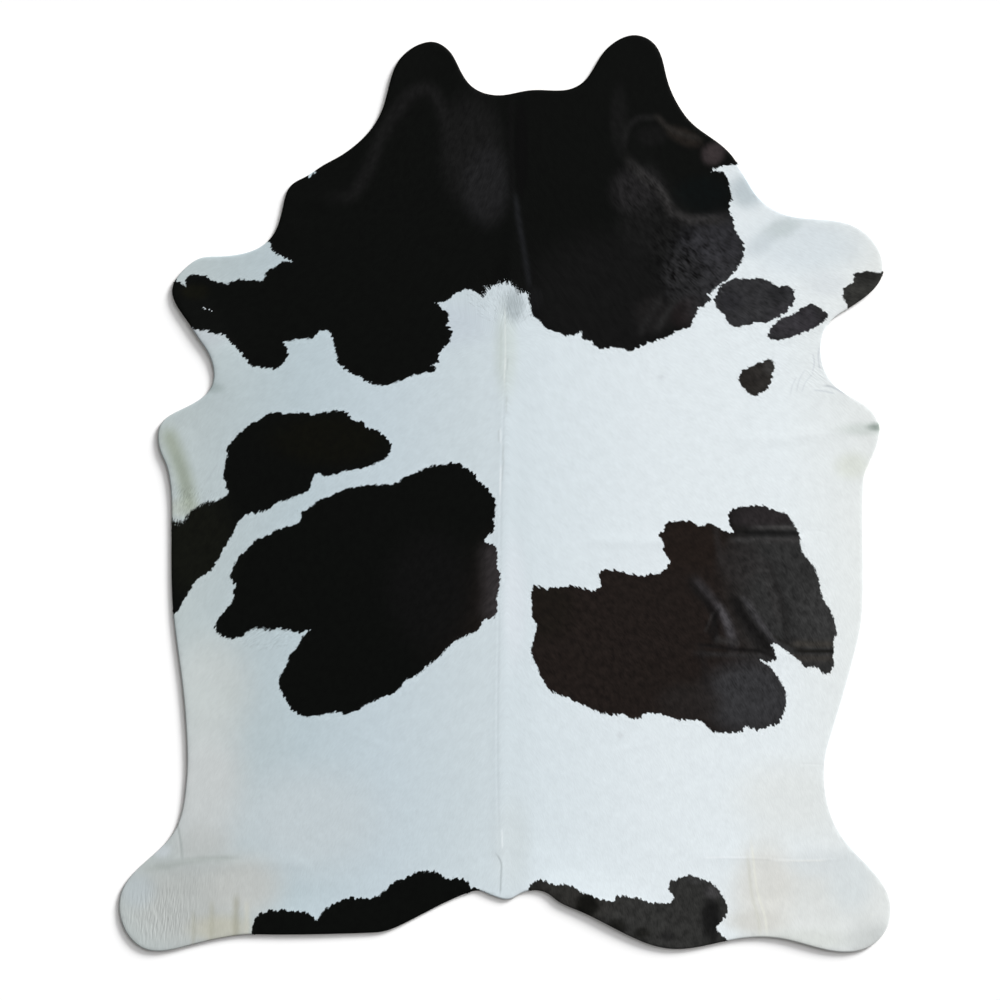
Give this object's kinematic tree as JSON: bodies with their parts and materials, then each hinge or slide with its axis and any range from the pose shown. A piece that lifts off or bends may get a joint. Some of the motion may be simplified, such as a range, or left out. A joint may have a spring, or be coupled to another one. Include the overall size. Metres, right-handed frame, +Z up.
{
  "type": "cowhide rug",
  "caption": "Flat-lying rug of one whole tanned cowhide with short black and white hair, trimmed to the animal's outline.",
  "frame": {"origin": "on the floor, under the middle of the hide's outline", "axes": "+Z up through the hair side, +Y along the spine towards the neck, +X to the right seen from above"},
  "size_m": [1.852, 2.199, 0.0122],
  "materials": {
    "hair_coat": "short glossy hair lying flat, cool off-white with large black patches",
    "flesh_side": "matt suede underside and trimmed edge"
  },
  "bodies": {
    "root": {"hide": "hair_coat"}
  },
  "joints": []
}
